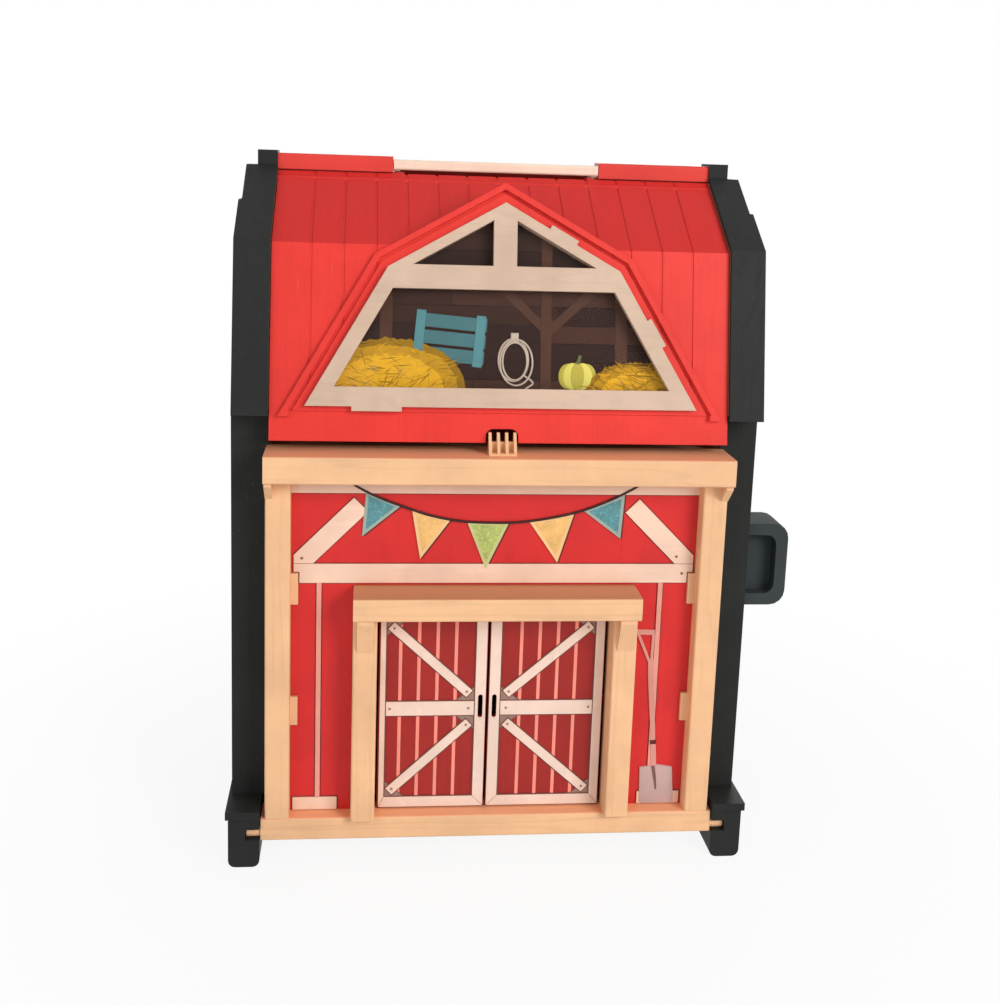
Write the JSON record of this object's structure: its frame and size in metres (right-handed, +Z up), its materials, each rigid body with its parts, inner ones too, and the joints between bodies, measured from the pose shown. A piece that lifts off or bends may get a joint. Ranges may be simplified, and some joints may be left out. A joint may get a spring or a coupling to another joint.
{
  "type": "toy barn",
  "caption": "Toy barn with a gambrel roof, a fold-down front wall with double doors, a lifting roof front with a dormer window, a folding carry handle and a side grip.",
  "frame": {"origin": "middle of the bounding box's underside, on the surface that the feet stand on", "axes": "+X towards the end wall with the side grip, +Y from the front towards the back, +Z up"},
  "size_m": [0.3254, 0.191, 0.4],
  "materials": {
    "black_plastic": "fine moulded grain, satin",
    "brown_plastic": "satin",
    "red_plastic": "satin, board grooves",
    "beige_plastic": "satin, moulded wood grain",
    "door_plastic": "satin",
    "red_card": "laminated printed card",
    "pale_print": "raised pale trim",
    "clear_plastic": "clear, thin",
    "brown_card": "laminated printed card",
    "screw_steel": "zinc plated"
  },
  "bodies": {
    "barn": {"left_end_wall": "black_plastic", "right_end_wall": "black_plastic", "left_wall_liner": "brown_plastic", "right_wall_liner": "brown_plastic", "front_left_foot": "black_plastic", "front_right_foot": "black_plastic", "rear_left_foot": "black_plastic", "rear_right_foot": "black_plastic", "ground_floor": "brown_plastic", "loft_floor": "brown_plastic", "back_wall": "red_plastic", "rear_roof": "red_plastic", "ridge_beam": "red_plastic", "ridge_cap_left": "red_plastic", "ridge_cap_right": "red_plastic", "side_grip": "black_plastic", "wall_screws": "screw_steel"},
    "front_wall": {"sill_beam": "beige_plastic", "left_post": "beige_plastic", "right_post": "beige_plastic", "header_beam": "beige_plastic", "catch_tab": "beige_plastic", "door_lintel": "beige_plastic", "left_jamb": "beige_plastic", "right_jamb": "beige_plastic", "front_panel": "red_plastic", "front_card": "red_card", "panel_trim": "pale_print"},
    "left_leaf": {"left_door": "door_plastic", "left_door_trim": "pale_print"},
    "right_leaf": {"right_door": "door_plastic", "right_door_trim": "pale_print"},
    "roof": {"roof_front": "red_plastic", "window_frame": "beige_plastic", "window_pane": "clear_plastic", "loft_card": "brown_card"},
    "handle": {"carry_handle": "beige_plastic"}
  },
  "joints": [
    {"name": "front_wall_hinge", "type": "hinge", "parent": "barn", "child": "front_wall", "pos_m": [-0.01335, -0.0765, 0.0195], "axis": [1, 0, 0], "range_deg": [0, 90]},
    {"name": "left_door_hinge", "type": "hinge", "parent": "front_wall", "child": "left_leaf", "pos_m": [-0.07645, -0.0699, 0.089], "axis": [0, 0, -1], "range_deg": [0, 90]},
    {"name": "right_door_hinge", "type": "hinge", "parent": "front_wall", "child": "right_leaf", "pos_m": [0.04975, -0.0699, 0.089], "axis": [0, 0, 1], "range_deg": [0, 90]},
    {"name": "roof_front_hinge", "type": "hinge", "parent": "barn", "child": "roof", "pos_m": [-0.01335, -0.0065, 0.38346], "axis": [-1, 0, 0], "range_deg": [0, 75]},
    {"name": "handle_pivot", "type": "hinge", "parent": "barn", "child": "handle", "pos_m": [-0.01335, 0.01, 0.3933], "axis": [-1, 0, 0], "range_deg": [0, 90]}
  ]
}
